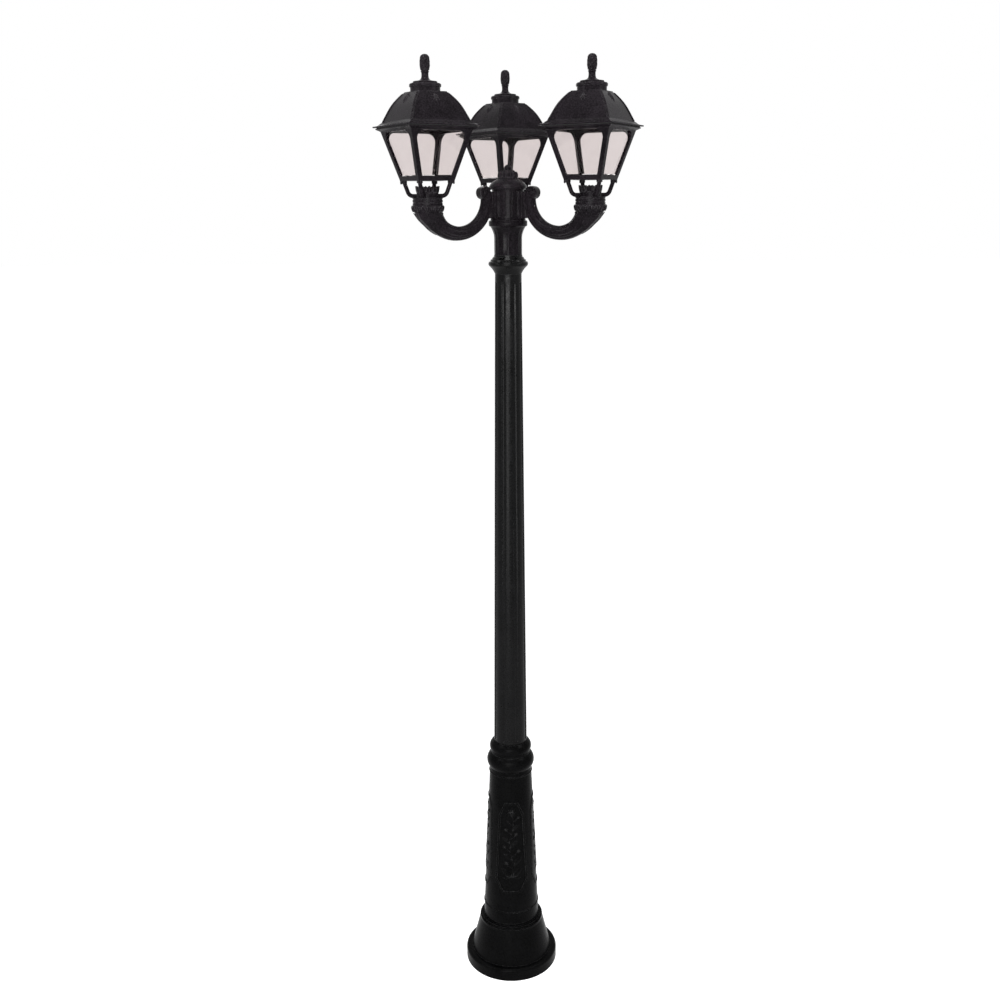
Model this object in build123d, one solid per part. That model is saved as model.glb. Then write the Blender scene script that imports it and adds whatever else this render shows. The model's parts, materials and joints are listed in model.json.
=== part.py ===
"""Triple head lamp post, all sizes in millimetres.

The post stands on Z = 0 with its axis on Z. A steel anchor plate and core tube carry it, and
moulded casings are threaded over the tube. Three arms leave the hub: the rear one along +Y, the
left and right ones a third of a turn from it. Each arm holds a square lantern on a spigot.
A lantern is drawn with its own axis on Z and its outer face towards +X, then set on its arm.
"""
import os
from math import asin, cos, degrees, radians, sin

from build123d import *

# ---- fits ----
running_gap = 0.05        # radial, between a shaft and its hole
seat_gap = 0.3            # between casings that only have to pass each other
lamp_gap = 0.2            # between the lamp and the face it turns under

# ---- anchor plate and core tube ----
plate_thickness = 8.0
anchor_circle = 170.0
anchor_holes = 4
anchor_hole_radius = 7.0
cable_entry_radius = 12.0
tube_radius = 24.15
tube_wall = 3.0

# ---- foot ----
plinth_radius = 132.5
plinth_height = 35.5
plinth_rounding = 9.0
foot_wall = 6.0
plinth_ledge = 17.5       # from the plinth's edge in to the skirt
skirt_low_radius = plinth_radius - plinth_ledge
skirt_high_radius = 91.0
skirt_height = 95.0
step_height = 6.5
step_width = 5.0

# ---- pedestal ----
pedestal_low_radius = 79.3
pedestal_high_radius = 58.9
pedestal_height = 469.0
casing_wall = 5.0
bead_radius = 2.0
low_bead_height = 36.0
high_bead_drop = 13.0
panel_sides = 4
panel_foot = 100.0
panel_height = 280.0
panel_half_width = 46.0
panel_narrowing = 11.0
panel_corner = 40.0
panel_foot_half = 27.0    # half width of the panel's lower edge
panel_head_half = 19.0    # half width of its upper edge
panel_line = 5.0
panel_relief = 2.0

# ---- lower collar ----
torus_height = 44.0
torus_radius = 66.5
waist_radius = 55.1
waist_height = 6.0
small_torus_height = 26.0
small_torus_radius = 58.6
lip_height = 5.0
lip_slope = 2.0           # width of the lip's sloping edge
socket_depth = 20.0

# ---- column ----
column_length = 1315.0
column_low_radius = 46.4
column_high_radius = 34.0
flutes = 8
flute_radius = 7.5
flute_depth = 2.8
flute_end = 25.0
flute_foot = 32.0
spacer_height = 20.0

# ---- upper collar ----
ring_height = 47.0
ring_radius = 50.5
ring_shoulder = 3.0       # by which the bead's two edges stand back
ring_step = 2.0           # width of each step above the bead
ring_flare = 4.0          # of the cove under the bead

# ---- hub ----
neck_radius = 35.1
neck_straight = 42.0
neck_flare = 28.0
neck_flare_radius = 44.5
hub_ring_radius = 48.6
hub_ring_height = 20.0
drum_radius = 39.8
drum_height = 70.0
drum_wall = 5.0
drum_floor = 5.0
drum_flutes = 16
drum_flute_radius = 2.3
drum_land = 5.0
pad_outer = 45.5
pad_inner = 31.0
pad_width = 26.0
cap_radius = 47.0
cap_height = 26.0
cap_crown_radius = 26.0
cap_wall = 4.0
stud_radius = 4.0
lead_hole_radius = 6.0
lead_hole_offset = 14.0
block_length = 34.0
block_width = 13.0
block_height = 15.0
block_poles = 3
block_well_radius = 2.2

# ---- crown ornament ----
crown_radius = 26.0
crown_shoulder_radius = 22.8
crown_height = 20.0
crown_leaves = 12
crown_notch_radius = 2.4
crown_knob_radius = 9.5

# ---- arms ----
arms = {"rear": 90.0, "left": 210.0, "right": 330.0}
lantern_turns = {"rear": 34.0, "left": 0.0, "right": 0.0}  # of each lantern on its spigot
arm_reach = 226.6
arm_hub_offset = 61.5
arm_bend_lift = 48.0      # centre of the U above the drum's floor
arm_mouth_lift = 19.0     # lantern end of the arm above the drum's floor
arm_stations = ((0.0, 15.5), (45.0, 16.0), (90.0, 17.2), (120.0, 20.0))
arm_throat_radius = 26.0
arm_throat_drop = 21.8    # of the throat under the arm's mouth
arm_mouth_radius = 34.0
arm_bore_radius = 6.0
scroll_radius = 18.0
scroll_width = 30.0
scroll_shift = 9.5
scroll_lift = 13.5
scroll_groove = 3.0
collar_radius = 41.5
collar_height = 14.0
collar_leaves = 12
collar_notch_radius = 5.0
notch_land = 0.6          # left between the notches and the arm's mouth
spigot_radius = 20.0
spigot_height = 25.0
spigot_bore_radius = 12.0
rim_overlap = 2.0         # of the leafy rim into the arm's mouth
bolt_radius = 2.5
bolt_length = 26.0
bolt_head_radius = 4.5
bolt_head_height = 4.0
bolt_lifts = (20.0, 52.0)  # above the drum's floor
lead_lift = 36.0

# ---- lantern holder ----
socket_radius = 36.5
socket_height = 18.0
socket_ring_depth = 1.2
prong_seat_radius = 27.0
prong_seat_height = 9.0
prong_radius = 5.0
prong_elbow_radius = 46.0
prong_elbow_rise = 4.0    # of the prong's level part above the socket's seat
prong_bend_radius = 14.0
prong_pad_radius = 7.0
prong_pad_height = 3.0
prongs_rise = 27.0        # from the top of the socket's seat to the cage
screw_radius = 2.0
screw_length = 9.0
screw_bite = 6.0          # of a corner screw in the prong's pad
screw_head_radius = 3.6
screw_head_height = 2.4
grub_radius = 2.5
grub_length = 11.0
grubs = 3
first_grub = 60.0

# ---- calyx cup ----
cup_low_radius = 26.0
cup_high_radius = 30.5
cup_height = 19.0
cup_wall = 4.0
cup_floor = 3.0
cup_leaves = 10
cup_notch_radius = 4.0

# ---- cage ----
cage_low_half = 48.5
cage_high_half = 81.0
cage_height = 114.0
cage_wall = 5.0
cage_post = 12.0
cage_rail = 11.0
cage_header = 2.0
cage_opening_half = 34.0
gusset_radius = 17.0
foot_drop = 9.0
foot_size = 9.0
rim_half = 90.0
rim_height = 7.0

# ---- panes ----
pane_gap = 0.4
pane_wall = 2.0
flange_depth = 2.0
flange_width = 5.0

# ---- roof ----
gasket_height = 2.0
gasket_width = 9.0
gasket_margin = 2.0
brim_half = 95.0
brim_edge = 3.0
brim_rise = 8.5
roof_step = 3.5
roof_foot_half = 82.0
roof_height = 78.5
roof_plate_half = 37.5
roof_plate_edge = 2.0
roof_wall = 3.0
roof_lip = 8.0
roof_boss_radius = 5.0
roof_boss_offset = 45.0
stem_boss_radius = 9.0
stem_boss_height = 12.0

# ---- chimney and finial ----
chimney_radius = 35.5
chimney_height = 10.5
chimney_flange_radius = 37.8
chimney_flange_height = 8.0
finial_disc_radius = 29.0
finial_disc_height = 4.5
finial_cone_height = 7.0
finial_neck_radius = 8.6
finial_neck_height = 17.5
knob_radius = 12.2
knob_height = 36.5
stem_radius = 4.0
stem_reach = 9.0          # into the boss under the roof's plate

# ---- lamp gear ----
tray_half = 62.0
tray_thickness = 1.5
tray_skirt = 12.0
tray_lift = 20.0          # above the brim's underside
lampholder_radius = 36.0
lampholder_height = 8.0
lamp_radius = 37.5
lamp_height = 16.0
lamp_pin_circle = 26.5
lamp_pin_radius = 2.4
lamp_pin_length = 5.0
lamp_twist = 15.0

# ---- heights that follow from the stack ----
foot_top = plinth_height + skirt_height + 3 * step_height
pedestal_top = foot_top + pedestal_height
collar_top = pedestal_top + torus_height + waist_height + small_torus_height + lip_height
column_base = collar_top - socket_depth
column_top = column_base + column_length
neck_base = column_top + ring_height
hub_ring_base = neck_base + neck_straight + neck_flare
drum_base = hub_ring_base + hub_ring_height
drum_top = drum_base + drum_height
cap_top = drum_top + cap_height
bend_height = drum_base + arm_bend_lift
mouth_height = drum_base + arm_mouth_lift
socket_base = mouth_height + collar_height
seat_base = socket_base + socket_height
seat_top = seat_base + prong_seat_height
cage_base = seat_top + prongs_rise + prong_pad_height
rail_top = cage_base + cage_rail
rim_base = cage_base + cage_height
rim_top = rim_base + rim_height
gasket_top = rim_top + gasket_height
roof_top = gasket_top + roof_height
chimney_top = roof_top + chimney_height + chimney_flange_height
tray_base = gasket_top + tray_lift
lampholder_base = tray_base - lampholder_height
lamp_top = lampholder_base - lamp_gap


def turned(*spans):
    """Solid turned about Z from the closed outline made by the spans, drawn as radius and height."""
    return revolve(Plane.XZ * make_face([edge for span in spans for edge in span.edges()]), Axis.Z)


def disc(radius, low, high):
    """Upright cylinder between two heights."""
    return Pos(0, 0, low) * Cylinder(radius, high - low, align=(Align.CENTER, Align.CENTER, Align.MIN))


def radial_rod(radius, near, far, height):
    """Rod along +X between two distances from the axis."""
    turn = Pos(near, 0, height) * Rot(0, 90, 0)
    return turn * Cylinder(radius, far - near, align=(Align.CENTER, Align.CENTER, Align.MIN))


def square_block(half, low, high):
    """Square block about Z between two heights."""
    low_centre = (Align.CENTER, Align.CENTER, Align.MIN)
    return Pos(0, 0, low) * Box(2 * half, 2 * half, high - low, align=low_centre)


def square_frustum(low_half, low, high_half, high):
    """Square block whose half side changes evenly between two heights."""
    low_face = Pos(0, 0, low) * Rectangle(2 * low_half, 2 * low_half)
    high_face = Pos(0, 0, high) * Rectangle(2 * high_half, 2 * high_half)
    return loft([low_face, high_face])


def spread(count, shape, first=0.0):
    """Copies of a shape, evenly turned about Z."""
    return [Rot(0, 0, first + 360 / count * step) * shape for step in range(count)]


def cage_half(height):
    """Half side of the cage's outer face at a height."""
    return cage_low_half + (cage_high_half - cage_low_half) * (height - cage_base) / cage_height


def column_radius(height):
    """Outer radius of the column at a height."""
    share = (height - column_base) / column_length
    return column_low_radius + (column_high_radius - column_low_radius) * share


def pedestal_radius(height):
    """Outer radius of the pedestal at a height."""
    share = (height - foot_top) / pedestal_height
    return pedestal_low_radius + (pedestal_high_radius - pedestal_low_radius) * share


# ---- post ----
def anchor_plate():
    radius = plinth_radius - foot_wall - seat_gap
    plate = disc(radius, 0, plate_thickness) - disc(cable_entry_radius, 0, plate_thickness)
    hole = Pos(anchor_circle / 2, 0, 0) * disc(anchor_hole_radius, 0, plate_thickness)
    return plate - spread(anchor_holes, hole, 180 / anchor_holes)


def core_tube():
    top = drum_base - drum_floor
    return disc(tube_radius, plate_thickness, top) - disc(tube_radius - tube_wall, plate_thickness, top)


def foot():
    skirt_top = plinth_height + skirt_height
    outside = Polyline(
        (plinth_radius - foot_wall, 0), (plinth_radius, 0), (plinth_radius, plinth_height),
        (skirt_low_radius, plinth_height), (skirt_high_radius, skirt_top),
        (skirt_high_radius, skirt_top + step_height),
        (skirt_high_radius - step_width, skirt_top + step_height),
        (skirt_high_radius - step_width, skirt_top + 2 * step_height),
        (pedestal_low_radius, skirt_top + 2 * step_height), (pedestal_low_radius, foot_top))
    inside = Polyline(
        (pedestal_low_radius, foot_top), (pedestal_low_radius - casing_wall, foot_top),
        (skirt_low_radius - foot_wall, plinth_height - foot_wall),
        (skirt_low_radius - foot_wall, plate_thickness), (plinth_radius - foot_wall, plate_thickness),
        (plinth_radius - foot_wall, 0))
    body = turned(outside, inside)
    plinth_edge = body.edges().filter_by(GeomType.CIRCLE).filter_by(
        lambda edge: abs(edge.radius - plinth_radius) < 0.01 and edge.center().Z > plinth_height / 2)
    return fillet(plinth_edge, min(plinth_rounding, plinth_height / 2, 0.8 * plinth_ledge))


def bead(radius, height):
    """Half-round bead that stands out of a turned wall."""
    return Pos(0, 0, height) * Torus(radius, bead_radius)


def panel_outline(inset):
    """Elongated octagon of the pedestal's framed panel, seen from the front."""
    half = panel_half_width - inset
    top_half = half - panel_narrowing
    corner = panel_corner - inset
    low, high = inset, panel_height - inset
    low_edge = panel_foot_half - inset / 2
    high_edge = panel_head_half - inset / 2
    right = [(low_edge, low), (half, low + corner), (top_half, high - corner), (high_edge, high)]
    left = [(-x, y) for x, y in reversed(right)]
    return make_face(Polyline(*right, *left, close=True).edges())


def pedestal():
    outer = Polyline((pedestal_low_radius, foot_top), (pedestal_high_radius, pedestal_top))
    bore = pedestal_high_radius - casing_wall
    inner = Polyline(
        (pedestal_high_radius, pedestal_top), (bore, pedestal_top),
        (pedestal_low_radius - casing_wall, foot_top), (pedestal_low_radius, foot_top))
    casing = turned(outer, inner)
    beads = bead(pedestal_radius(foot_top + low_bead_height), foot_top + low_bead_height)
    beads += bead(pedestal_radius(pedestal_top - high_bead_drop), pedestal_top - high_bead_drop)
    proud = turned(Polyline(
        (pedestal_low_radius + panel_relief, foot_top), (pedestal_high_radius + panel_relief, pedestal_top),
        (bore + casing_wall / 2, pedestal_top), (pedestal_low_radius - casing_wall / 2, foot_top),
        close=True))
    frame_face = panel_outline(0) - panel_outline(panel_line)
    frame = extrude(Plane.XZ * Pos(0, foot_top + panel_foot) * frame_face, pedestal_low_radius * 2)
    frame = frame & proud
    return casing + beads + spread(panel_sides, frame)


def lower_collar():
    torus_top = pedestal_top + torus_height
    waist_top = torus_top + waist_height
    small_top = waist_top + small_torus_height
    bore = column_radius(column_base) + seat_gap
    shelf = tube_radius + seat_gap
    outside = (
        ThreePointArc((pedestal_high_radius, pedestal_top), (torus_radius, pedestal_top + torus_height / 2),
                      (waist_radius, torus_top)),
        Line((waist_radius, torus_top), (waist_radius, waist_top)),
        ThreePointArc((waist_radius, waist_top), (small_torus_radius, waist_top + small_torus_height / 2),
                      (waist_radius - lip_slope, small_top)))
    inside = Polyline(
        (waist_radius - lip_slope, small_top), (bore + lip_slope, collar_top), (bore, collar_top),
        (bore, column_base), (shelf, column_base), (shelf, column_base - spacer_height), (bore, pedestal_top),
        (pedestal_high_radius, pedestal_top))
    return turned(*outside, inside)


def column():
    spacer_bore = tube_radius + seat_gap
    low_bore = column_low_radius - casing_wall
    high_bore = column_high_radius - casing_wall
    shell = turned(Polyline(
        (column_low_radius, column_base), (column_high_radius, column_top), (spacer_bore, column_top),
        (spacer_bore, column_top - spacer_height), (high_bore, column_top - 2 * spacer_height),
        (low_bore, column_base + 2 * spacer_height), (spacer_bore, column_base + spacer_height),
        (spacer_bore, column_base), close=True))
    low, high = column_base + flute_foot, column_top - flute_end
    low_centre = Vector(column_radius(low) + flute_radius - flute_depth, 0, low)
    high_centre = Vector(column_radius(high) + flute_radius - flute_depth, 0, high)
    run = high_centre - low_centre
    across = Plane(origin=low_centre, z_dir=run)
    groove = extrude(across * Circle(flute_radius), run.length)
    groove += Pos(low_centre) * Sphere(flute_radius) + Pos(high_centre) * Sphere(flute_radius)
    return shell - spread(flutes, groove, -90 + 180 / flutes)


def upper_collar():
    bore = tube_radius + seat_gap
    rise = ring_height
    widest = column_top + 0.55 * rise
    shoulder = ring_radius - ring_shoulder
    neck_lip = neck_radius + ring_step / 2
    outside = (
        Polyline((bore, column_top), (column_high_radius, column_top)),
        ThreePointArc((column_high_radius, column_top),
                      (column_high_radius + ring_flare, column_top + 0.16 * rise),
                      (shoulder, column_top + 0.4 * rise)),
        ThreePointArc((shoulder, column_top + 0.4 * rise), (ring_radius, widest),
                      (shoulder, column_top + 0.66 * rise)),
        Polyline((shoulder, column_top + 0.66 * rise), (shoulder - ring_step, column_top + 0.66 * rise),
                 (shoulder - ring_shoulder, column_top + 0.76 * rise),
                 (shoulder - ring_shoulder - ring_step, column_top + 0.76 * rise),
                 (neck_lip + ring_step, column_top + 0.9 * rise), (neck_lip, column_top + 0.9 * rise),
                 (neck_lip, neck_base), (bore, neck_base), (bore, column_top)))
    return turned(*outside)


# ---- hub ----
def neck():
    bore = tube_radius + running_gap
    tube_top = drum_base - drum_floor
    flare_base = neck_base + neck_straight
    ring_top = drum_base
    return turned(
        Polyline((bore, neck_base), (neck_radius, neck_base), (neck_radius, flare_base)),
        ThreePointArc((neck_radius, flare_base),
                      ((neck_radius + neck_flare_radius) / 2 - 2, flare_base + 0.6 * neck_flare),
                      (neck_flare_radius, hub_ring_base)),
        Polyline((neck_flare_radius, hub_ring_base),
                 (hub_ring_radius, hub_ring_base + 0.15 * hub_ring_height),
                 (hub_ring_radius, ring_top - 0.3 * hub_ring_height), (hub_ring_radius - 4, ring_top),
                 (tube_radius - tube_wall, ring_top), (tube_radius - tube_wall, tube_top), (bore, tube_top),
                 (bore, neck_base)))


def hub_drum():
    drum = disc(drum_radius, drum_base, drum_top)
    drum -= disc(drum_radius - drum_wall, drum_base + drum_floor, drum_top)
    groove = Pos(drum_radius, 0, 0) * disc(drum_flute_radius, drum_base + drum_land, drum_top - drum_land)
    drum -= spread(drum_flutes, groove, 180 / drum_flutes)
    pad = Pos(pad_inner, 0, drum_base) * Box(
        pad_outer - pad_inner, pad_width, drum_height - drum_land,
        align=(Align.MIN, Align.CENTER, Align.MIN))
    hole_radius = bolt_radius + running_gap
    holes = [radial_rod(hole_radius, pad_inner, pad_outer, drum_base + lift) for lift in bolt_lifts]
    holes.append(radial_rod(arm_bore_radius, pad_inner, pad_outer, drum_base + lead_lift))
    for angle in arms.values():
        drum += Rot(0, 0, angle) * pad
        drum -= [Rot(0, 0, angle) * hole for hole in holes]
    drum -= disc(stud_radius + running_gap, drum_base, drum_top)
    return drum - Pos(0, lead_hole_offset, 0) * disc(lead_hole_radius, drum_base, drum_top)


def hub_cap():
    shoulder = drum_top + 0.3 * cap_height
    bore = stud_radius + running_gap
    cap = turned(
        Polyline((bore, drum_top), (cap_radius - 3, drum_top), (cap_radius, drum_top + 3),
                 (cap_radius, shoulder)),
        ThreePointArc((cap_radius, shoulder), (0.84 * cap_radius, drum_top + 0.68 * cap_height),
                      (cap_crown_radius + 4, cap_top - 3)),
        Polyline((cap_crown_radius + 4, cap_top - 3), (cap_crown_radius, cap_top), (bore, cap_top),
                 (bore, drum_top)))
    plug = drum_radius - drum_wall - seat_gap
    ring_base = drum_top - drum_land + 1
    ring = disc(plug, ring_base, drum_top) - disc(plug - cap_wall, ring_base, drum_top)
    hollow_top = drum_top + cap_height - 3 * cap_wall
    hollow = disc(plug - cap_wall, drum_top, hollow_top) - disc(stud_radius + cap_wall, drum_top, hollow_top)
    return cap - hollow + ring


def crown():
    knob_height_above = cap_top + crown_height + 0.45 * crown_knob_radius
    leaf_top = cap_top + crown_height
    dome = turned(
        Polyline((0, cap_top), (crown_radius, cap_top)),
        ThreePointArc((crown_radius, cap_top), (crown_shoulder_radius, cap_top + 0.5 * crown_height),
                      (crown_knob_radius - 1, leaf_top)),
        Polyline((crown_knob_radius - 1, leaf_top), (0, leaf_top), (0, cap_top)))
    notch = Pos(crown_radius, 0, cap_top) * Rot(0, -20, 0) * Cylinder(
        crown_notch_radius, crown_height, align=(Align.CENTER, Align.CENTER, Align.MIN))
    ornament = dome - spread(crown_leaves, notch, 180 / crown_leaves)
    ornament += Pos(0, 0, knob_height_above) * Sphere(crown_knob_radius)
    return ornament - disc(stud_radius + running_gap, cap_top, cap_top + crown_height)


def crown_stud():
    return disc(stud_radius, drum_base, cap_top + crown_height - running_gap)


def terminal_block():
    centre = drum_radius - drum_wall - pad_width / 2 - block_width / 2
    floor = drum_base + drum_floor
    block = Pos(0, -centre, floor) * Box(
        block_length, block_width, block_height, align=(Align.CENTER, Align.CENTER, Align.MIN))
    pitch = block_length / block_poles
    for pole in range(block_poles):
        across = (pole + 0.5) * pitch - block_length / 2
        block -= Pos(across, -centre, 0) * disc(
            block_well_radius, floor + 0.4 * block_height, floor + block_height)
    return block


# ---- arms, drawn along +X ----
def arm_bend():
    """Radius of the U's centre line."""
    return (arm_reach - arm_hub_offset) / 2


def arm_plane(angle):
    """Plane across the arm, at an angle round the U from its hub end."""
    bend = arm_bend()
    middle = arm_hub_offset + bend
    turn = radians(angle)
    centre = (middle - bend * cos(turn), 0, bend_height - bend * sin(turn))
    return Plane(origin=centre, x_dir=(0, 1, 0), z_dir=(sin(turn), 0, -cos(turn)))


def arm():
    top = Plane(origin=(arm_hub_offset, 0, bend_height + scroll_lift), x_dir=(0, 1, 0), z_dir=(0, 0, -1))
    mouth = Plane(origin=(arm_reach, 0, mouth_height), x_dir=(0, 1, 0), z_dir=(0, 0, 1))
    rings = [top * Circle(arm_stations[0][1])]
    rings += [arm_plane(angle) * Circle(radius) for angle, radius in arm_stations]
    throat_drop = bend_height - mouth_height + arm_throat_drop
    throat_turn = 180 - degrees(asin(throat_drop / arm_bend()))
    rings.append(arm_plane(throat_turn) * Circle(arm_throat_radius))
    rings.append(mouth * Circle(arm_mouth_radius))
    body = loft(rings)
    body += Pos(pad_outer, 0, drum_base) * Box(
        arm_hub_offset - pad_outer, pad_width, drum_height - drum_land,
        align=(Align.MIN, Align.CENTER, Align.MIN))
    body += arm_scroll()
    body += Pos(arm_reach, 0, 0) * leaf_collar()
    body -= [Pos(arm_reach, 0, 0) * notch for notch in collar_notches()]
    body += Pos(arm_reach, 0, 0) * disc(spigot_radius, mouth_height, socket_base + spigot_height)
    body -= lead_way()
    body -= Pos(arm_reach, 0, 0) * disc(spigot_bore_radius, mouth_height, socket_base + spigot_height)
    for lift in bolt_lifts:
        body -= radial_rod(bolt_radius, pad_outer, pad_inner + bolt_length + 1, drum_base + lift)
    return body


def lead_way():
    """Passage for the leads, from the drum round the U into the spigot's bore."""
    bend = arm_bend()
    height = drum_base + lead_lift
    way = Pos(arm_hub_offset + bend, 0, bend_height) * Rot(90, 0, 0) * Torus(bend, arm_bore_radius)
    below = Box(4 * bend, 4 * bend, 2 * bend, align=(Align.MIN, Align.CENTER, Align.MAX))
    way = way & Pos(0, 0, height) * below
    return way + radial_rod(arm_bore_radius, pad_outer, arm_hub_offset, height)


def arm_scroll():
    """Volute that rolls outwards from the arm's hub end."""
    centre = Pos(arm_hub_offset + scroll_shift, 0, bend_height + scroll_lift) * Rot(90, 0, 0)
    roll = centre * Cylinder(scroll_radius, scroll_width)
    ring = Cylinder(0.76 * scroll_radius, scroll_groove) - Cylinder(0.42 * scroll_radius, scroll_groove)
    reach = (scroll_width - scroll_groove) / 2
    return roll - [centre * Pos(0, 0, side * reach) * ring for side in (-1, 1)]


def leaf_collar():
    """Leafy rim that closes the arm's mouth, about the lantern's axis."""
    low, high = mouth_height - rim_overlap, socket_base
    root = arm_mouth_radius - rim_overlap
    return turned(Polyline(
        (0, low), (root, low), (root, low + rim_overlap / 2), (arm_mouth_radius + 1, low + rim_overlap / 2),
        (collar_radius, mouth_height + 0.3 * collar_height),
        (collar_radius, mouth_height + 0.75 * collar_height),
        (collar_radius - 3, high), (0, high), close=True))


def collar_notches():
    """Cuts between the leaves of the rim, clear of the arm's mouth."""
    low = mouth_height - rim_overlap
    notch = radial_rod(collar_notch_radius, arm_mouth_radius + notch_land, 2 * collar_radius, low)
    return spread(collar_leaves, notch)


def arm_bolts():
    bolts = []
    for angle in arms.values():
        for lift in bolt_lifts:
            height = drum_base + lift
            bolt = radial_rod(bolt_radius - running_gap, pad_inner, pad_inner + bolt_length, height)
            bolt += radial_rod(bolt_head_radius, pad_inner - bolt_head_height, pad_inner, height)
            socket = radial_rod(bolt_radius / 2, pad_inner - bolt_head_height, pad_inner - 1, height)
            bolts.append(Rot(0, 0, angle) * (bolt - socket))
    return bolts


# ---- lantern, drawn about its own axis ----
corner_offset = cage_opening_half + (cage_low_half - cage_opening_half) / 2


def holder():
    bore = spigot_radius + running_gap
    groove = socket_radius - socket_ring_depth
    rise = socket_height
    body = turned(Polyline(
        (bore, socket_base), (socket_radius, socket_base), (socket_radius, socket_base + 0.28 * rise),
        (groove, socket_base + 0.28 * rise), (groove, socket_base + 0.4 * rise),
        (socket_radius, socket_base + 0.4 * rise), (socket_radius, socket_base + 0.72 * rise),
        (groove, socket_base + 0.72 * rise), (groove, socket_base + 0.84 * rise),
        (socket_radius, socket_base + 0.84 * rise), (socket_radius, seat_base),
        (prong_seat_radius, seat_base), (prong_seat_radius, seat_top), (bore, seat_top), close=True))
    outer = corner_offset * 2 ** 0.5
    start = (outer, cage_base - prong_pad_height)
    level = seat_base + prong_elbow_rise
    elbow, end = (prong_elbow_radius, level), (bore + prong_radius, level)
    path = Plane.XZ * FilletPolyline(start, elbow, end, radius=prong_bend_radius)
    prong = sweep(Plane(origin=path @ 0, z_dir=path % 0) * Circle(prong_radius), path=path)
    prong += Pos(start[0], 0, start[1]) * Cylinder(
        prong_pad_radius, 2 * prong_pad_height, align=(Align.CENTER, Align.CENTER, Align.CENTER))
    prong = prong - Pos(start[0], 0, 0) * disc(screw_radius, cage_base - screw_bite - 1, cage_base)
    prong = prong - disc(bore, socket_base, seat_top)
    body += spread(4, prong, 45)
    grub_hole = radial_rod(grub_radius + running_gap, 0, socket_radius, socket_base + rise / 2)
    for hole in spread(grubs, grub_hole, first_grub):
        body -= hole
    return body


def calyx_cup():
    shell = turned(Polyline(
        (arm_bore_radius, seat_top), (cup_low_radius, seat_top), (cup_high_radius, seat_top + cup_height),
        (cup_high_radius - cup_wall, seat_top + cup_height),
        (cup_low_radius - cup_wall, seat_top + cup_floor), (arm_bore_radius, seat_top + cup_floor),
        close=True))
    notch = radial_rod(cup_notch_radius, cup_low_radius / 2, 2 * cup_high_radius, seat_top + cup_height)
    return shell - spread(cup_leaves, notch)


def grub_screws():
    near = spigot_radius + running_gap
    far = near + grub_length
    height = socket_base + socket_height / 2
    grub = radial_rod(grub_radius, near, far, height)
    grub -= radial_rod(grub_radius / 2, far - grub_radius, far, height)
    return spread(grubs, grub, first_grub)


def corner_screws():
    seat = rail_top - screw_head_height - seat_gap
    screw = disc(screw_radius - running_gap, cage_base - screw_bite, seat)
    screw += disc(screw_head_radius, seat, rail_top - seat_gap)
    return spread(4, Pos(corner_offset, corner_offset, 0) * screw)


def window(half_low, half_high, low, high):
    """Prism through the cage along Y, with arched upper corners."""
    shape = make_face(Polyline(
        (-half_low, low), (half_low, low), (half_high, high), (-half_high, high), close=True).edges())
    shape = fillet(shape.vertices().group_by(Axis.Y)[-1], gusset_radius)
    return extrude(Plane.XZ * shape, 2 * rim_half, both=True)


def cage():
    body = square_frustum(cage_low_half, cage_base, cage_high_half, rim_base)
    body += square_frustum(cage_high_half, rim_base, rim_half, rim_top - flange_depth)
    body += square_block(rim_half, rim_top - flange_depth, rim_top)
    inner_half = cage_half(rim_top) - cage_wall
    body -= square_frustum(cage_half(rail_top) - cage_wall, rail_top, inner_half, rim_top)
    body -= square_block(cage_opening_half, cage_base, rail_top)
    body -= square_block(inner_half + flange_width, rim_top - flange_depth, rim_top)
    high = rim_base - cage_header
    opening = window(cage_half(rail_top) - cage_post, cage_half(high) - cage_post, rail_top, high)
    body -= [opening, Rot(0, 0, 90) * opening]
    drop = Pos(cage_low_half, cage_low_half, cage_base) * Box(
        foot_size, foot_size, foot_drop, align=(Align.MAX, Align.MAX, Align.MAX))
    drop = chamfer(drop.faces().sort_by(Axis.Z)[0].edges(), 0.3 * foot_size)
    corner = Pos(corner_offset, corner_offset, 0)
    drop -= corner * disc(prong_pad_radius + seat_gap, cage_base - foot_drop, cage_base)
    body += spread(4, drop)
    hole = corner * disc(screw_radius + running_gap, cage_base, rail_top)
    hole += corner * disc(screw_head_radius + seat_gap, rail_top - screw_head_height - seat_gap, rail_top)
    return body - spread(4, hole)


def panes():
    low_half = cage_half(rail_top) - cage_wall - pane_gap
    high_half = cage_half(rim_top) - cage_wall - pane_gap
    body = square_frustum(low_half, rail_top, high_half, rim_top)
    body += square_block(high_half + pane_gap + flange_width - seat_gap, rim_top - flange_depth, rim_top)
    inside_low = low_half - pane_wall
    return body - square_frustum(inside_low, rail_top + pane_wall, high_half - pane_wall, rim_top)


def gasket():
    outer = rim_half - gasket_margin
    return square_block(outer, rim_top, gasket_top) - square_block(outer - gasket_width, rim_top, gasket_top)


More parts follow.
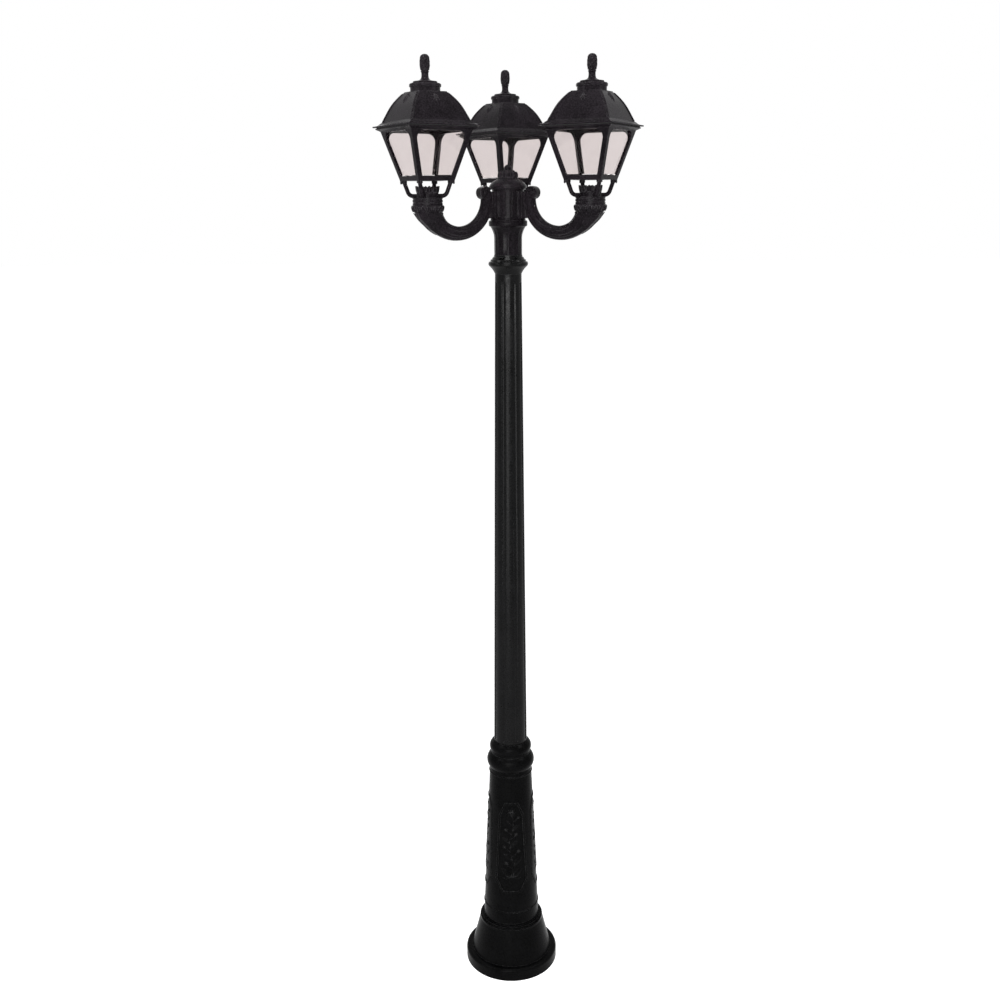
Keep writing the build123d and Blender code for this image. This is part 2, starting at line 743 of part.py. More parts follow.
def ogee(inset):
    """Solid roof form, drawn in by an inset on its sides and top."""
    base = gasket_top
    foot = roof_foot_half - inset
    plate = roof_plate_half - inset
    rise = roof_height - roof_plate_edge - brim_rise - roof_step
    spring = base + brim_rise + roof_step
    drawn = foot - plate
    curve = Spline(
        (foot - 0.1 * drawn, spring), (foot - 0.33 * drawn, spring + 0.36 * rise),
        (foot - 0.5 * drawn, spring + 0.59 * rise), (foot - 0.7 * drawn, spring + 0.79 * rise),
        (plate + 1.5, spring + rise - inset))
    half = Polyline(
        (plate + 1.5, spring + rise - inset), (plate, spring + rise - inset),
        (plate, roof_top - inset), (-plate, roof_top - inset), (-plate, spring + rise - inset),
        (-plate - 1.5, spring + rise - inset))
    mirrored = mirror(curve, Plane.YZ)
    low = Polyline(
        (-foot + 0.1 * drawn, spring), (-foot, base + brim_rise), (-foot, base), (foot, base),
        (foot, base + brim_rise), (foot - 0.1 * drawn, spring))
    face = make_face(curve.edges() + half.edges() + mirrored.edges() + low.edges())
    across = extrude(Plane.XZ * face, 2 * brim_half, both=True)
    return across & Rot(0, 0, 90) * across


def brim():
    """Thin projecting edge that curves up into the roof's foot."""
    base = gasket_top
    curve = ThreePointArc(
        (brim_half, base + brim_edge),
        ((brim_half + roof_foot_half) / 2 - 1.5, base + brim_edge + 0.3 * (brim_rise - brim_edge)),
        (roof_foot_half, base + brim_rise))
    rest = Polyline(
        (-roof_foot_half, base + brim_rise), (roof_foot_half, base + brim_rise))
    low = Polyline(
        (-brim_half, base + brim_edge), (-brim_half, base), (brim_half, base), (brim_half, base + brim_edge))
    face = make_face(curve.edges() + mirror(curve, Plane.YZ).edges() + rest.edges() + low.edges())
    across = extrude(Plane.XZ * face, 2 * brim_half, both=True)
    return across & Rot(0, 0, 90) * across


def roof():
    outer = ogee(0)
    shell = outer + brim() - ogee(roof_lip / 2 + roof_wall)
    pillar = Pos(roof_boss_offset, roof_boss_offset, 0) * disc(
        roof_boss_radius, tray_base + tray_thickness, roof_top)
    bosses = [boss & outer for boss in spread(4, pillar)]
    shell += bosses
    shell += disc(stem_boss_radius, roof_top - roof_wall - stem_boss_height, roof_top)
    shell -= disc(stem_radius + running_gap, roof_top - roof_wall - stem_boss_height, roof_top)
    hole = Pos(roof_boss_offset, roof_boss_offset, 0) * disc(
        screw_radius, tray_base, tray_base + screw_length + 3)
    return shell - spread(4, hole)


def chimney():
    base = roof_top
    neck_top = base + chimney_height
    flange = chimney_flange_radius
    body = turned(Polyline(
        (0, base), (chimney_radius, base), (chimney_radius, neck_top), (flange - 1, neck_top),
        (flange, neck_top + 1), (flange, chimney_top - 2), (flange - 2, chimney_top), (0, chimney_top),
        close=True))
    return body - disc(stem_radius + running_gap, base, chimney_top)


def finial():
    disc_top = chimney_top + finial_disc_height
    cone_top = disc_top + finial_cone_height
    neck_top = cone_top + finial_neck_height
    knob_foot = neck_top + 0.04 * knob_height
    knob_turn = neck_top + 0.72 * knob_height
    body = turned(
        Polyline((0, chimney_top), (finial_disc_radius, chimney_top), (finial_disc_radius, disc_top),
                 (0.8 * finial_disc_radius, disc_top)),
        ThreePointArc((0.8 * finial_disc_radius, disc_top),
                      (1.5 * finial_neck_radius, disc_top + 0.45 * finial_cone_height),
                      (finial_neck_radius, cone_top)),
        Polyline((finial_neck_radius, cone_top), (finial_neck_radius, neck_top),
                 (0.86 * knob_radius, knob_foot)),
        ThreePointArc((0.86 * knob_radius, knob_foot), (knob_radius, neck_top + 0.38 * knob_height),
                      (0.96 * knob_radius, knob_turn)),
        ThreePointArc((0.96 * knob_radius, knob_turn), (0.74 * knob_radius, neck_top + 0.92 * knob_height),
                      (0.2 * knob_radius, neck_top + knob_height)),
        Polyline((0.2 * knob_radius, neck_top + knob_height), (0, neck_top + knob_height), (0, chimney_top)))
    return body + disc(stem_radius, roof_top - roof_wall - stem_reach, chimney_top)


# ---- lamp gear, held in the roof ----
def gear_tray():
    top = tray_base + tray_thickness
    low = tray_base - tray_skirt
    body = square_frustum(tray_half + tray_thickness, low, tray_half - tray_thickness, top)
    body -= square_frustum(tray_half, low, tray_half - 2 * tray_thickness, tray_base)
    hole = Pos(roof_boss_offset, roof_boss_offset, 0) * disc(screw_radius + running_gap, tray_base, top)
    return body - spread(4, hole) - disc(arm_bore_radius, tray_base, top)


def tray_screws():
    screw = disc(screw_radius - running_gap, tray_base, tray_base + screw_length)
    screw += disc(screw_head_radius, tray_base - screw_head_height, tray_base)
    return spread(4, Pos(roof_boss_offset, roof_boss_offset, 0) * screw)


def lampholder():
    body = disc(lampholder_radius, lampholder_base, tray_base)
    body -= disc(arm_bore_radius, lampholder_base, tray_base)
    track = lamp_pin_radius + running_gap
    depth = lamp_pin_length + lamp_gap
    for side in (0, 180):
        pin = Pos(lamp_pin_circle, 0, 0) * disc(track, lampholder_base, lampholder_base + depth)
        slot = Plane.XZ * Pos(lamp_pin_circle, lampholder_base + depth / 2) * Rectangle(2 * track, depth)
        body -= Rot(0, 0, side) * revolve(slot, Axis.Z, lamp_twist)
        body -= [Rot(0, 0, side) * pin, Rot(0, 0, side + lamp_twist) * pin]
    return body


def disc_lamp():
    base = lamp_top - lamp_height
    body = turned(Polyline(
        (0, lamp_top), (lamp_radius, lamp_top), (lamp_radius, base + 0.4 * lamp_height),
        (0.94 * lamp_radius, base + 0.1 * lamp_height), (0.85 * lamp_radius, base), (0, base), close=True))
    pin = Pos(lamp_pin_circle, 0, 0) * disc(lamp_pin_radius, lamp_top, lamp_top + lamp_pin_length)
    return body + spread(2, pin)


# ---- write every piece ----
def write(name, shape):
    solids = shape if isinstance(shape, list) else [shape]
    solids = [solid for item in solids for solid in item.solids()]
    export_step(Compound(children=solids), f"parts/{name}.step")


post_pieces = (
    anchor_plate, core_tube, foot, pedestal, lower_collar, column, upper_collar, neck, hub_drum, hub_cap,
    crown, crown_stud, terminal_block, arm_bolts)
lantern_pieces = (
    holder, calyx_cup, grub_screws, corner_screws, cage, panes, gasket, roof, chimney, finial, gear_tray,
    tray_screws, lampholder, disc_lamp)

os.makedirs("parts", exist_ok=True)
for piece in post_pieces:
    write(piece.__name__, piece())
one_arm = arm()
for side, angle in arms.items():
    write(f"arm_{side}", Rot(0, 0, angle) * one_arm)
for piece in lantern_pieces:
    made = piece()
    copies = made if isinstance(made, list) else [made]
    for side, angle in arms.items():
        place = Rot(0, 0, angle) * Pos(arm_reach, 0, 0) * Rot(0, 0, lantern_turns[side])
        write(f"{piece.__name__}_{side}", [place * copy for copy in copies])
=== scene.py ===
import json
from math import atan2, cos, exp, hypot, pi, radians, sin

import bmesh
import bpy
from mathutils import Matrix, Vector
from mathutils.bvhtree import BVHTree


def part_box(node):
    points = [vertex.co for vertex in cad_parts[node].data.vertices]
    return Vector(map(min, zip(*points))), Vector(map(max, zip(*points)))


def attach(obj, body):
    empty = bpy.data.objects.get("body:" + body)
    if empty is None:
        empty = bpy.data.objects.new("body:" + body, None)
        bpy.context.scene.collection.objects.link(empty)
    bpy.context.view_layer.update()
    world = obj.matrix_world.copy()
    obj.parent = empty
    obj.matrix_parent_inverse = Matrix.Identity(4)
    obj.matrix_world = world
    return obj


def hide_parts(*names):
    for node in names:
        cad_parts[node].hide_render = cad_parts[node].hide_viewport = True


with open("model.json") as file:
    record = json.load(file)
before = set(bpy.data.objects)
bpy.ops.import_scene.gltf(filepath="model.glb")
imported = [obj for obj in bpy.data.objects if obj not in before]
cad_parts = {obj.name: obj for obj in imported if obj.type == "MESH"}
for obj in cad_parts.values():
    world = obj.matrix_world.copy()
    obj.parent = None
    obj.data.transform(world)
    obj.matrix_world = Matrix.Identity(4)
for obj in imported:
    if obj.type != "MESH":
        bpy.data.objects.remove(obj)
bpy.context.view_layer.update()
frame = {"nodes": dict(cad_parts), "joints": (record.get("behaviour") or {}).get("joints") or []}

scene = bpy.context.scene
solids = frame["nodes"]

# ---- camera ----
# It stands 2.9 m in front of the post, level with the lanterns' sockets, and looks down along the column, so
# that the whole post is in view.
camera_place = (-0.0771, -2.9390, 2.1705)
camera_turn = radians(-1.014)
camera_pitch = radians(90 - 14.705)
camera_roll = radians(-0.396)

camera_lens = bpy.data.cameras.new("camera")
camera_lens.lens = 40.80
camera_lens.sensor_width = 36.0
camera = bpy.data.objects.new("camera", camera_lens)
camera.matrix_world = (
    Matrix.Translation(camera_place) @ Matrix.Rotation(camera_turn, 4, "Z")
    @ Matrix.Rotation(camera_pitch, 4, "X") @ Matrix.Rotation(camera_roll, 4, "Z"))
scene.collection.objects.link(camera)
scene.camera = camera
scene.view_settings.view_transform = "Standard"


# ---- studio ----
# A white sweep with a pale floor that takes the post's shadow. One wide soft lamp stands behind the camera and
# one below it for the foot, with one on each side, one above and a weak one behind.
def node(tree, kind, values=(), **settings):
    """Adds a shader node with its settings, and fills its inputs with values or with other nodes' outputs."""
    made = tree.nodes.new("ShaderNode" + kind)
    for key, value in settings.items():
        setattr(made, key, value)
    for key, value in dict(values).items():
        if isinstance(value, bpy.types.NodeSocket):
            tree.links.new(value, made.inputs[key])
        else:
            made.inputs[key].default_value = value
    return made


def seen_as_backdrop(tree):
    """1 for rays that look straight, by reflection or through clear plastic at the backdrop, else 0."""
    rays = node(tree, "LightPath").outputs
    direct = node(tree, "Math", {0: rays["Is Camera Ray"], 1: rays["Is Glossy Ray"]}, operation="MAXIMUM")
    through = rays["Is Transmission Ray"]
    return node(tree, "Math", {0: direct.outputs[0], 1: through}, operation="MAXIMUM").outputs[0]


room_light = (0.22, 0.22, 0.23, 1)
white = (1, 1, 1, 1)
scene.world = bpy.data.worlds.new("studio")
scene.world.use_nodes = True
room = scene.world.node_tree
room.nodes.clear()
room_colour = node(room, "Mix", {"Factor": seen_as_backdrop(room), 6: room_light, 7: white}, data_type="RGBA")
room_glow = node(room, "Background", {"Color": room_colour.outputs[2], "Strength": 1.0})
node(room, "OutputWorld", {"Surface": room_glow.outputs[0]})

floor_size = 40.0
floor_shade = (0.80, 0.80, 0.80, 1)
floor_lift = 0.84
floor_mesh = bpy.data.meshes.new("floor")
floor_corners = [(-floor_size, -floor_size, 0), (floor_size, -floor_size, 0),
                 (floor_size, floor_size, 0), (-floor_size, floor_size, 0)]
floor_mesh.from_pydata(floor_corners, [], [(0, 1, 2, 3)])
floor = bpy.data.objects.new("floor", floor_mesh)
scene.collection.objects.link(floor)
floor_finish = bpy.data.materials.new("pale_floor")
floor_finish.use_nodes = True
floor_tree = floor_finish.node_tree
floor_shader = floor_tree.nodes["Principled BSDF"]
floor_shader.inputs["Base Color"].default_value = floor_shade
floor_shader.inputs["Roughness"].default_value = 0.9
floor_shader.inputs["Specular IOR Level"].default_value = 0.1
floor_glow = node(floor_tree, "Math", {0: seen_as_backdrop(floor_tree), 1: floor_lift}, operation="MULTIPLY")
floor_shader.inputs["Emission Color"].default_value = white
floor_tree.links.new(floor_glow.outputs[0], floor_shader.inputs["Emission Strength"])
floor_mesh.materials.append(floor_finish)


def soft_lamp(name, place, aim, size, watts):
    """Rectangular soft lamp that faces a point."""
    glow = bpy.data.lights.new(name, "AREA")
    glow.shape = "RECTANGLE"
    glow.size, glow.size_y = size
    glow.energy = watts
    lamp = bpy.data.objects.new(name, glow)
    lamp.location = place
    lamp.rotation_euler = (Vector(aim) - Vector(place)).to_track_quat("-Z", "Y").to_euler()
    scene.collection.objects.link(lamp)


soft_lamp("key_lamp", (-0.40, -3.20, 1.88), (0, 0, 1.95), (2.00, 0.60), 62)
soft_lamp("low_lamp", (-0.80, -3.20, 0.75), (0, 0, 0.80), (1.10, 1.00), 24)
soft_lamp("left_lamp", (-2.30, -0.90, 3.10), (0, 0, 2.30), (0.9, 0.9), 24)
soft_lamp("right_lamp", (2.30, -0.90, 3.10), (0, 0, 2.30), (0.9, 0.9), 26)
soft_lamp("top_lamp", (-0.20, -1.10, 3.90), (0, 0, 2.30), (1.0, 0.7), 30)
soft_lamp("back_lamp", (-0.40, 2.60, 3.20), (0, 0, 1.80), (1.2, 1.2), 8)


# ---- anchor plate and core tube ----
# A round steel plate with four anchor holes and the steel tube welded upright on it, both hot-dip galvanised.
# The plate shows only from below, the rest stands inside the casings.
def new_finish(name):
    """New material, with its node tree and its shader."""
    made = bpy.data.materials.new(name)
    made.use_nodes = True
    return made, made.node_tree, made.node_tree.nodes["Principled BSDF"]


def dress(finish, *names):
    """Gives CAD pieces a finish."""
    for name in names:
        for slot in solids[name].material_slots:
            slot.material = finish


def relief(tree, shader, height, depth, under=None):
    """Bumps a shader's surface by a height between 0 and 1, to a depth in metres."""
    values = {"Height": height, "Distance": depth, "Strength": 1.0}
    if under:
        values["Normal"] = under
    bump = node(tree, "Bump", values)
    tree.links.new(bump.outputs[0], shader.inputs["Normal"])


def spread_over(tree, value, low, high, to_low, to_high):
    """A value stretched from one span to another."""
    spans = {"Value": value, "From Min": low, "From Max": high, "To Min": to_low, "To Max": to_high}
    return node(tree, "MapRange", spans).outputs[0]


def two_shades(tree, share, first, second):
    """Colour that goes from a first shade to a second one."""
    return node(tree, "Mix", {"Factor": share, 6: (*first, 1), 7: (*second, 1)}, data_type="RGBA").outputs[2]


def metal(name, dull, bright, crystal, stretch=(1, 1, 1), rough=(0.32, 0.5)):
    """Bare metal with crystals or brush marks of a size in metres."""
    finish, tree, shader = new_finish(name)
    place = node(tree, "TexCoord").outputs["Object"]
    place = node(tree, "Mapping", {"Vector": place, "Scale": stretch}).outputs[0]
    cells = node(tree, "TexVoronoi", {"Vector": place, "Scale": 1 / crystal}).outputs["Color"]
    grain = node(tree, "TexNoise", {"Vector": place, "Scale": 3 / crystal, "Detail": 4.0}).outputs["Fac"]
    cell_tone = node(tree, "RGBToBW", {0: cells}).outputs[0]
    tone = node(tree, "Mix", {"Factor": 0.5, 2: cell_tone, 3: grain}).outputs[0]
    tree.links.new(two_shades(tree, tone, dull, bright), shader.inputs["Base Color"])
    tree.links.new(spread_over(tree, tone, 0.2, 0.8, *rough), shader.inputs["Roughness"])
    shader.inputs["Metallic"].default_value = 1.0
    relief(tree, shader, grain, 0.00005)
    return finish


galvanised = metal("galvanised_steel", (0.38, 0.39, 0.41), (0.60, 0.61, 0.62), 0.006)
dress(galvanised, "anchor_plate", "core_tube", "crown_stud")


# ---- foot ----
# The round foot is one hollow moulding of black resin with a fine satin grain, threaded over the tube onto
# the plate. Its edges are painted a little paler, partly as wear from rubbing and partly as a painted
# highlight.
def moulded_resin(name, shade, shine, rough, pore, pit, edge=0.0012):
    """Black resin of a shade, shine and roughness, with a grain of a size and depth, and edges painted paler as
    wear and highlight.
    """
    finish, tree, shader = new_finish(name)
    place = node(tree, "TexCoord").outputs["Object"]
    grain = node(tree, "TexNoise", {"Vector": place, "Scale": 1 / pore, "Detail": 2.5}).outputs["Fac"]
    cloudy = {"Vector": place, "Scale": 16.0, "Detail": 5.0, "Roughness": 0.6}
    cloud = node(tree, "TexNoise", cloudy).outputs["Fac"]
    scuff = node(tree, "TexNoise", {"Vector": place, "Scale": 140.0, "Detail": 3.0}).outputs["Fac"]
    sharp = node(tree, "NewGeometry").outputs["Normal"]
    soft = node(tree, "Bevel", {"Radius": edge}, samples=4).outputs[0]
    turn = node(tree, "VectorMath", {0: sharp, 1: soft}, operation="DOT_PRODUCT").outputs["Value"]
    # The bevel's edge mask, broken up by scuffs, paints the edges paler: partly wear from rubbing, partly a
    # painted highlight.
    edge_wear_and_highlight = spread_over(tree, turn, 0.995, 0.92, 0.0, 1.0)
    patchy = spread_over(tree, scuff, 0.40, 0.62, 0.25, 1.0)
    edge_wear_and_highlight = node(tree, "Math", {0: edge_wear_and_highlight, 1: patchy}, operation="MULTIPLY", use_clamp=True).outputs[0]
    darker = [0.35 * part for part in shade]
    paler = [2.0 * part + 0.001 for part in shade]
    wear_and_highlight_shade = [3.0 * part + 0.05 for part in shade]
    speck = node(tree, "Mix", {"Factor": 0.6, 2: cloud, 3: grain}).outputs[0]
    body = two_shades(tree, spread_over(tree, speck, 0.36, 0.64, 0.0, 1.0), darker, paler)
    shade_with_paler_edges = node(tree, "Mix", {"Factor": edge_wear_and_highlight, 6: body, 7: (*wear_and_highlight_shade, 1)}, data_type="RGBA").outputs[2]
    tree.links.new(shade_with_paler_edges, shader.inputs["Base Color"])
    mixed = node(tree, "Mix", {"Factor": 0.45, 2: grain, 3: cloud}).outputs[0]
    tree.links.new(spread_over(tree, mixed, 0.38, 0.62, rough - 0.12, rough + 0.12), shader.inputs["Roughness"])
    shader.inputs["Specular IOR Level"].default_value = shine
    relief(tree, shader, grain, pit, under=soft)
    return finish


# post_black is a slightly darker, less shiny copy of the column's resin, which paints the foot, pedestal and
# lower collar in shade.
post_black = moulded_resin("post_black_resin", (0.0018, 0.0018, 0.0019), 0.022, 0.30, pore=0.0034, pit=0.00005)
dress(post_black, "foot")


# ---- pedestal ----
# The tapered pedestal is a second hollow moulding. Four framed panels stand proud of it, each with a climbing
# plant in low relief: a wavy stem with leaves on both sides, small flowers on twigs and one on top.
pedestal_low, pedestal_high = (corner.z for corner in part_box("pedestal"))
pedestal_low_radius = 0.0793
pedestal_high_radius = 0.0589
panel_low = pedestal_low + 0.100
stem_radius = 0.0022
stem_sway = 0.0055
relief_foot = 0.050
relief_top = 0.250
leaf_pairs = 6
plant_rise = 0.6
panels = 4


def skinned(rings):
    """Points and faces of a closed skin over rings of equally many points."""
    count = len(rings[0])
    points = [point for ring in rings for point in ring]
    faces = []
    for row in range(len(rings) - 1):
        for k in range(count):
            here, beside = row * count + k, row * count + (k + 1) % count
            faces.append((here, beside, beside + count, here + count))
    faces.append(tuple(reversed(range(count))))
    faces.append(tuple(range(len(points) - count, len(points))))
    return points, faces


def rod(path, radii, sides=10):
    """Round rod along points in a plane near X-Y, with a radius at each point."""
    rings = []
    for step, point in enumerate(path):
        before, after = Vector(path[max(step - 1, 0)]), Vector(path[min(step + 1, len(path) - 1)])
        along = (after - before).normalized()
        side = along.cross(Vector((0, 0, 1))).normalized()
        rise = side.cross(along)
        spokes = [cos(2 * pi * k / sides) * side + sin(2 * pi * k / sides) * rise for k in range(sides)]
        rings.append([tuple(Vector(point) + radii[step] * spoke) for spoke in spokes])
    return skinned(rings)


def leaf(length, width, dome, thickness, lobes=0, curl=0.0, rows=14):
    """Closed leaf along +Y with a raised middle rib, an edge cut into lobes, and a tip that curls up."""
    across = (-1, -0.82, -0.55, -0.26, -0.09, 0, 0.09, 0.26, 0.55, 0.82, 1)
    points = []
    for upper in (True, False):
        for row in range(rows + 1):
            along = row / rows
            swell = sin(pi * (0.16 + 0.83 * along)) ** 0.75
            cut = 1 - 0.26 * abs(sin(pi * lobes * along)) ** 1.5 if lobes else 1
            for share in across:
                body = dome * swell * (1 - share ** 2)
                body += 0.30 * dome * exp(-(share / 0.10) ** 2) * (1 - along)
                body -= 0.22 * dome * abs(sin(pi * lobes * along - 1.2 * abs(share))) * abs(share) ** 0.5
                lift = curl * along ** 2.5
                points.append((width / 2 * swell * cut * share, length * along,
                               lift + (body if upper else -thickness)))
    columns = len(across)
    back = columns * (rows + 1)
    faces = []
    for row in range(rows):
        for column in range(columns - 1):
            here = row * columns + column
            faces.append((here, here + 1, here + columns + 1, here + columns))
            faces.append((back + here, back + here + columns, back + here + columns + 1, back + here + 1))
    edge = list(range(columns)) + [row * columns + columns - 1 for row in range(1, rows + 1)]
    edge += [rows * columns + column for column in range(columns - 2, -1, -1)]
    edge += [row * columns for row in range(rows - 1, 0, -1)]
    for here, beside in zip(edge, edge[1:] + edge[:1]):
        faces.append((here, back + here, back + beside, beside))
    return points, faces


def placed(shape, place):
    """A shape with each of its points put through a placing rule."""
    points, faces = shape
    return [tuple(place(*point)) for point in points], faces


def gathered(shapes):
    """Several shapes as one list of points and one of faces."""
    points, faces = [], []
    for more_points, more_faces in shapes:
        faces += [tuple(len(points) + k for k in face) for face in more_faces]
        points += more_points
    return points, faces


def piece(name, shape, finish, body, sharp=50):
    """A mesh piece that rides on a body, with faces smooth up to an angle."""
    mesh = bpy.data.meshes.new(name)
    mesh.from_pydata(shape[0], [], shape[1])
    made = bmesh.new()
    made.from_mesh(mesh)
    bmesh.ops.remove_doubles(made, verts=made.verts, dist=1e-6)
    bmesh.ops.recalc_face_normals(made, faces=made.faces)
    made.to_mesh(mesh)
    made.free()
    mesh.polygons.foreach_set("use_smooth", [True] * len(mesh.polygons))
    mesh.set_sharp_from_angle(angle=radians(sharp))
    mesh.materials.append(finish)
    thing = bpy.data.objects.new(name, mesh)
    scene.collection.objects.link(thing)
    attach(thing, body)
    return thing


def on_sprig(at_x, at_y, heading):
    """Rule that sets a leaf on the flat drawing of the plant, with a heading from straight up in degrees."""
    turn = radians(heading)
    return lambda x, y, z: (at_x + x * cos(turn) + y * sin(turn), at_y - x * sin(turn) + y * cos(turn), z)


def stem_offset(height):
    return stem_sway * sin(2 * pi * 1.5 * (height - relief_foot) / (relief_top - relief_foot))


def flower(at_x, at_y, petal, petals=6):
    """Small open flower of leaf-shaped petals round a domed eye."""
    shapes = [
        placed(leaf(petal, 0.62 * petal, 0.0024, 0.0012, rows=8), on_sprig(at_x, at_y, 360 / petals * turn))
        for turn in range(petals)]
    eye = [(at_x, at_y, -0.001 + 0.0014 * step) for step in range(5)]
    eye_radii = [0.30 * petal * share for share in (1, 1, 0.9, 0.65, 0.25)]
    rings = [[(at_x + r * cos(2 * pi * k / 10), at_y + r * sin(2 * pi * k / 10), centre[2]) for k in range(10)]
             for centre, r in zip(eye, eye_radii)]
    return shapes + [skinned(rings)]


def climbing_plant():
    """Flat drawing of the plant, centred on X = 0, with Y up from the panel's lower edge."""
    heights = [relief_foot + (relief_top - relief_foot) * step / 40 for step in range(41)]
    path = [(stem_offset(height), height, 0.0004) for height in heights]
    shapes = [rod(path, [stem_radius * (1.25 - 0.6 * step / 40) for step in range(41)])]
    for side in (-1, 1):
        large, small = leaf(0.040, 0.021, 0.0034, 0.0015, lobes=3), leaf(0.028, 0.014, 0.0028, 0.0015, lobes=2)
        shapes.append(placed(large, on_sprig(0.0, relief_foot, side * 50)))
        shapes.append(placed(small, on_sprig(0.0, relief_foot, side * 98)))
    for pair in range(leaf_pairs):
        height = relief_foot + 0.026 + 0.027 * pair
        size = 1.0 - 0.06 * pair
        for side in (-1, 1):
            low = height + (0.012 if side > 0 else 0.0)
            foot = (stem_offset(low), low)
            heading = side * (46 + 8 * (pair % 2))
            if pair % 2 == (side > 0):
                tip = (foot[0] + side * 0.021 * size, foot[1] + 0.017 * size)
                twig = [(foot[0] + (tip[0] - foot[0]) * t, foot[1] + (tip[1] - foot[1]) * t ** 1.6, 0.0003)
                        for t in (0, 0.25, 0.5, 0.75, 1)]
                shapes.append(rod(twig, [0.0015] * 5, sides=8))
                shapes += flower(*tip, petal=0.0082 * size)
            else:
                blade = leaf(0.034 * size, 0.0175 * size, 0.0032, 0.0015, lobes=3)
                shapes.append(placed(blade, on_sprig(*foot, heading)))
    shapes += flower(stem_offset(relief_top), relief_top, petal=0.0125, petals=8)
    return gathered(shapes)


def on_pedestal(turn):
    """Rule that wraps the plant's flat drawing on the pedestal, at an angle from the front."""
    def wrap(x, y, z):
        height = panel_low + y
        share = (height - pedestal_low) / (pedestal_high - pedestal_low)
        radius = pedestal_low_radius + (pedestal_high_radius - pedestal_low_radius) * share
        angle = radians(turn) + x / radius
        out = radius + plant_rise * z
        return (out * sin(angle), -out * cos(angle), height)
    return wrap


dress(post_black, "pedestal")
plant = climbing_plant()
for panel in range(panels):
    piece(f"pedestal_plant_{panel + 1}", placed(plant, on_pedestal(360 / panels * panel)), post_black, "post")

# ---- lower collar, column and upper collar ----
# Two half-round beads clasp the foot of the long tapered column, which is moulded with eight round-ended
# flutes. A beaded ring closes its top. All are black resin, stacked on the tube.
dress(post_black, "lower_collar")
# This copy of the resin is a little paler and shinier than post_black, so the post is painted darker towards
# its foot.
column_black = moulded_resin(
    "column_black_resin", (0.0022, 0.0022, 0.0023), 0.075, 0.27, pore=0.0040, pit=0.00004)
dress(column_black, "upper_collar")
column_low, column_high = (corner.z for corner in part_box("column"))
column_low_radius = 0.0464
column_high_radius = 0.0340
column_bore = 0.02445
flutes = 8
flute_radius = 0.0075
flute_depth = 0.0028
flute_foot = column_low + 0.032
flute_end = column_high - 0.025


def turned(outline, count=96, cut=None):
    """Closed shape turned about Z from a closed outline of (radius, height), its radius cut back by a rule."""
    rings = []
    points = []
    for radius, height in outline:
        ring = []
        for k in range(count):
            angle = 2 * pi * k / count
            here = radius - (cut(radius, height, angle) if cut else 0)
            ring.append(len(points))
            points.append((here * cos(angle), here * sin(angle), height))
        rings.append(ring)
    faces = []
    for low, high in zip(rings, rings[1:] + rings[:1]):
        faces += [(low[k], low[(k + 1) % count], high[(k + 1) % count], high[k]) for k in range(count)]
    return points, faces


def column_radius(height):
    share = (height - column_low) / (column_high - column_low)
    return column_low_radius + (column_high_radius - column_low_radius) * share


def flute(radius, height, angle):
    """Depth of a flute's hollow, with round ends."""
    beyond = max(flute_foot - height, height - flute_end, 0)
    if radius < column_high_radius - 0.001 or beyond >= flute_radius:
        return 0
    hollow = (flute_radius ** 2 - beyond ** 2) ** 0.5
    pitch = 2 * pi / flutes
    turn = angle % pitch - pitch / 2
    aside = radius * sin(turn)
    if abs(aside) >= hollow:
        return 0
    floor_at = radius + flute_radius - flute_depth - (hollow ** 2 - aside ** 2) ** 0.5
    return max(0, radius * cos(turn) - floor_at)


column_heights = [column_low, flute_foot - flute_radius - 0.001]
column_heights += [flute_foot - flute_radius * cos(pi / 2 * step / 8) for step in range(8)]
column_heights += [flute_foot + (flute_end - flute_foot) * step / 30 for step in range(31)]
column_heights += [flute_end + flute_radius * sin(pi / 2 * step / 8) for step in range(1, 9)]
column_heights += [flute_end + flute_radius + 0.001, column_high]
column_outline = [(column_bore, column_low)] + [(column_radius(height), height) for height in column_heights]
column_outline += [(column_bore, column_high)]
column = piece("fluted_column", turned(column_outline, 320, flute), column_black, "post", sharp=40)
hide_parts("column")

# ---- neck, drum and cap ----
# The hub stands on a neck that flares into a ring: shallow facets run up the neck, and the fluted drum above
# holds the arms' bolts. A domed cap closes it.
neck_low, neck_high = (corner.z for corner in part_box("neck"))
neck_bore = 0.0242
neck_radius = 0.0351
neck_straight = 0.042
neck_flare = 0.028
flare_radius = 0.0445
hub_ring_radius = 0.0486
neck_facets = 16
facet_depth = 0.0011


def neck_outline():
    flare_foot = neck_low + neck_straight
    ring_foot = flare_foot + neck_flare
    outline = [(neck_bore, neck_low), (neck_radius, neck_low)]
    outline += [(neck_radius, neck_low + neck_straight * step / 6) for step in range(1, 6)]
    for step in range(11):
        share = step / 10
        radius = neck_radius + (flare_radius - neck_radius) * share ** 1.9
        outline.append((radius, flare_foot + neck_flare * share))
    outline += [(hub_ring_radius - 0.0015, ring_foot + 0.0008), (hub_ring_radius, ring_foot + 0.0030),
                (hub_ring_radius, ring_foot + 0.0125), (hub_ring_radius - 0.0012, ring_foot + 0.0145),
                (hub_ring_radius - 0.0040, ring_foot + 0.0150), (hub_ring_radius - 0.0046, neck_high - 0.001),
                (hub_ring_radius - 0.0060, neck_high), (neck_bore, neck_high)]
    return outline


def neck_facet(radius, height, angle):
    """Depth of a facet's hollow, which runs out at the neck's foot and under its ring."""
    low = min(1, max(0, (height - neck_low - 0.003) / 0.006))
    high = min(1, max(0, (neck_low + neck_straight + neck_flare - height) / 0.010))
    if radius < neck_radius - 0.001 or radius > flare_radius + 0.0005:
        return 0
    return facet_depth * low * high * abs(sin(neck_facets * angle / 2)) ** 0.8


lantern_black = moulded_resin(
    "lantern_black_resin", (0.0078, 0.0062, 0.0078), 0.040, 0.27, pore=0.0032, pit=0.00006)
neck = piece("hub_neck", turned(neck_outline(), 192, neck_facet), lantern_black, "post")
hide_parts("neck")
dress(lantern_black, "hub_drum", "hub_cap")


